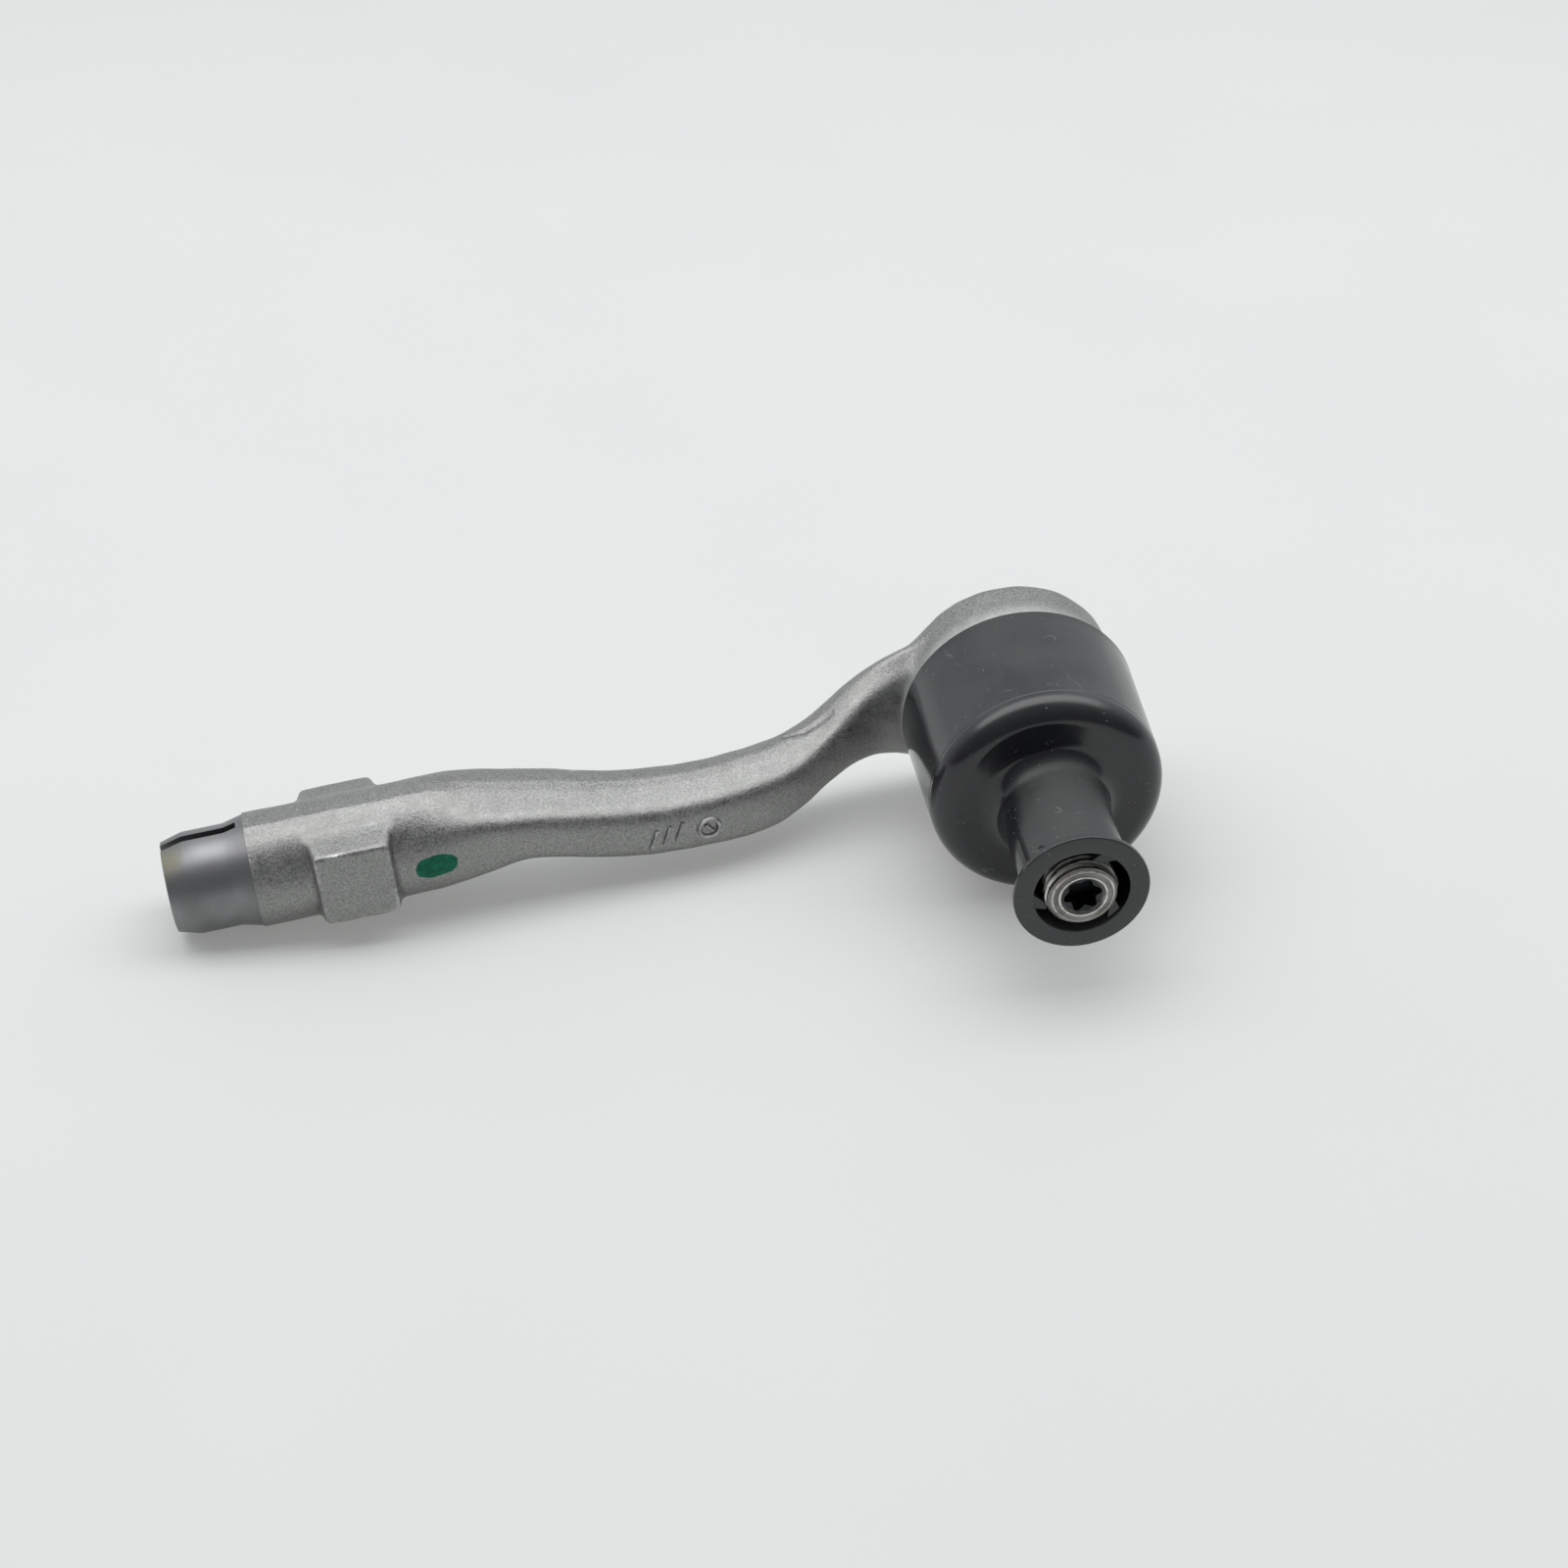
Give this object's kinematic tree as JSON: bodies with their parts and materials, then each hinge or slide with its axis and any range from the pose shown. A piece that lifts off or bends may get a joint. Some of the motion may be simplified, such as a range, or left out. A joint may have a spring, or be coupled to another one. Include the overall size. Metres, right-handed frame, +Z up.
{
  "type": "tie rod end",
  "caption": "Steering tie rod end: bent forged arm with a slotted threaded tube, a sealed ball joint and a push-on transit cap over the stud.",
  "frame": {"origin": "centre of the ball, which the tube's axis also passes through", "axes": "-Y along the stud to its tip, +Z up as the part lies at rest, the threaded tube towards -X"},
  "size_m": [0.1938, 0.0742, 0.0472],
  "materials": {
    "forged_aluminium": "blasted forging with a machined clamping end",
    "plated_steel": "zinc plated",
    "spring_steel": "oiled spring steel",
    "seat_plastic": "natural acetal",
    "stud_steel": "turned and rolled, dry",
    "boot_rubber": "moulded rubber",
    "slip_plastic": "moulded acetal",
    "cap_plastic": "satin gloss polyethylene"
  },
  "bodies": {
    "arm": {"arm_forging": "forged_aluminium", "closing_cover": "plated_steel", "pressure_ring": "spring_steel", "ball_seat": "seat_plastic", "boot_base_clip": "spring_steel"},
    "boot": {"dust_boot": "boot_rubber"},
    "boot_top": {"boot_slip_ring": "slip_plastic", "boot_top_clip": "spring_steel"},
    "stud": {"ball_stud": "stud_steel"},
    "cap": {"transit_cap": "cap_plastic"}
  },
  "joints": [
    {"name": "swing_direction", "type": "hinge", "parent": "arm", "child": "boot", "pos_m": [0, 0, 0], "axis": [0, -1, 0], "continuous": true},
    {"name": "stud_swing", "type": "hinge", "parent": "boot", "child": "boot_top", "pos_m": [0, 0, 0], "axis": [0, 0, 1], "range_deg": [-7, 7], "deforming": ["dust_boot"]},
    {"name": "stud_spin", "type": "hinge", "parent": "boot_top", "child": "stud", "pos_m": [0, 0, 0], "axis": [0, -1, 0], "continuous": true},
    {"name": "cap_pull", "type": "slide", "parent": "stud", "child": "cap", "axis": [0, -1, 0], "range_m": [0, 0.065]}
  ]
}
